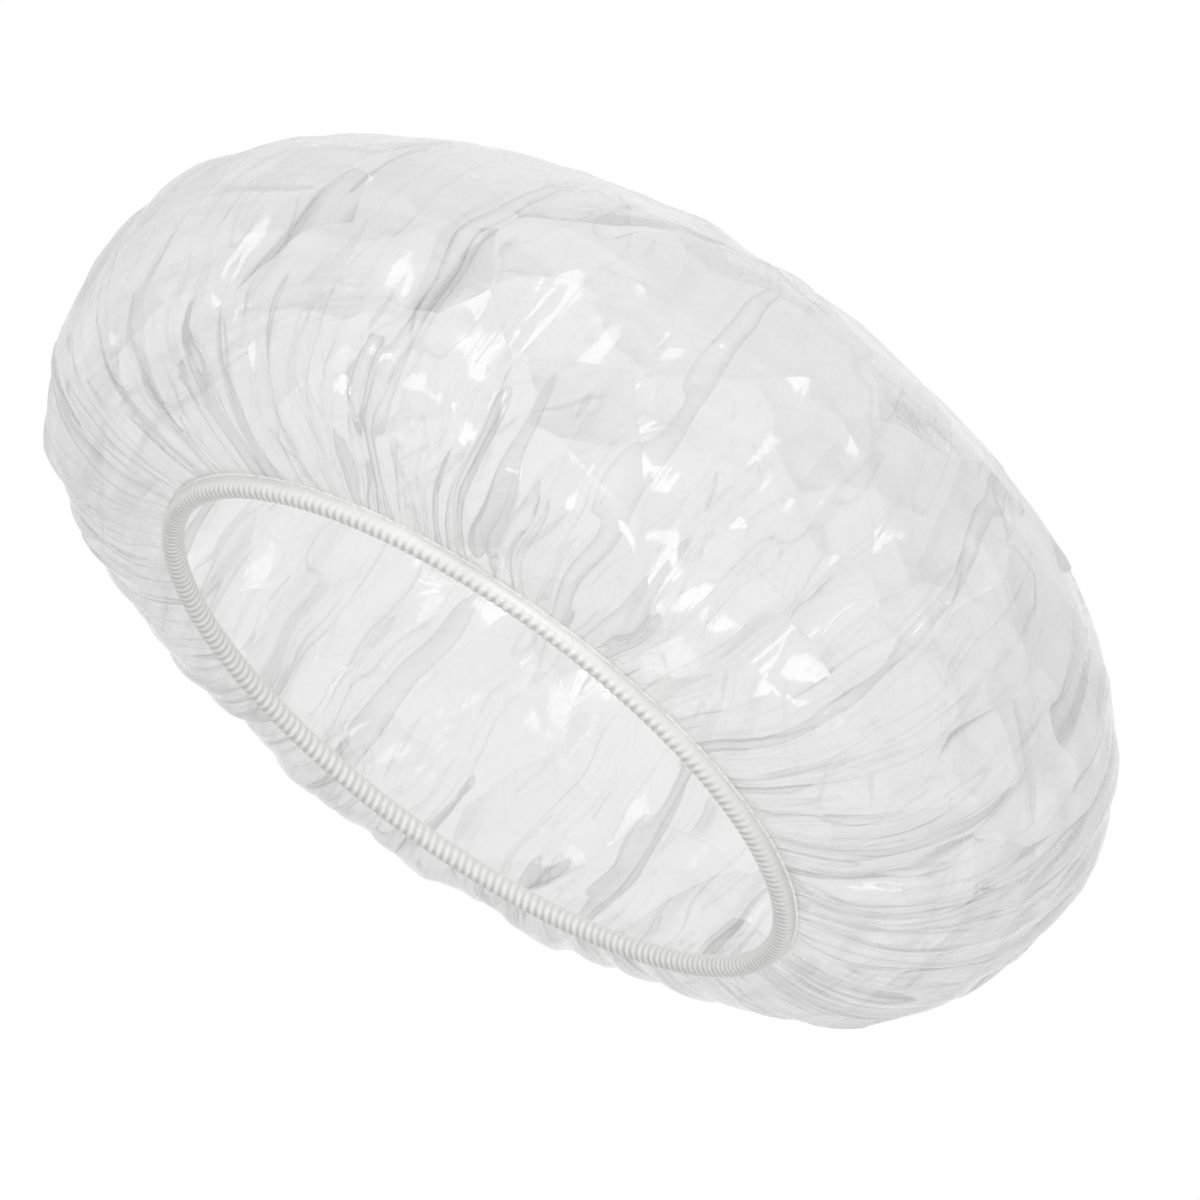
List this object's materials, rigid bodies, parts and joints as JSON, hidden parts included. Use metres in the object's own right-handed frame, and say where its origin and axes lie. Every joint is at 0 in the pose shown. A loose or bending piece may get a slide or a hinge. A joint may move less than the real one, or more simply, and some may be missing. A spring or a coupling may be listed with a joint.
{
  "type": "shower cap",
  "caption": "Disposable shower cap: a puffed, pleated dome of clear film gathered into a round ribbed rim over an elastic ring.",
  "frame": {"origin": "middle of the opening, on the plane that the rim rests on", "axes": "+Z through the crown, square to the rim; X and Y are alike on this round part, and -Y faces the picture's camera"},
  "size_m": [0.29, 0.29, 0.1304],
  "materials": {
    "clear_film": "clear glossy crumpled film",
    "sealed_film": "flattened heat-sealed film, whitish",
    "gathered_film": "satin white, gathered into fine ribs",
    "elastic_rubber": "matte"
  },
  "bodies": {
    "root": {"film_dome": "clear_film", "sealed_lip": "sealed_film", "gathered_hem": "gathered_film", "elastic_ring": "elastic_rubber"}
  },
  "joints": []
}
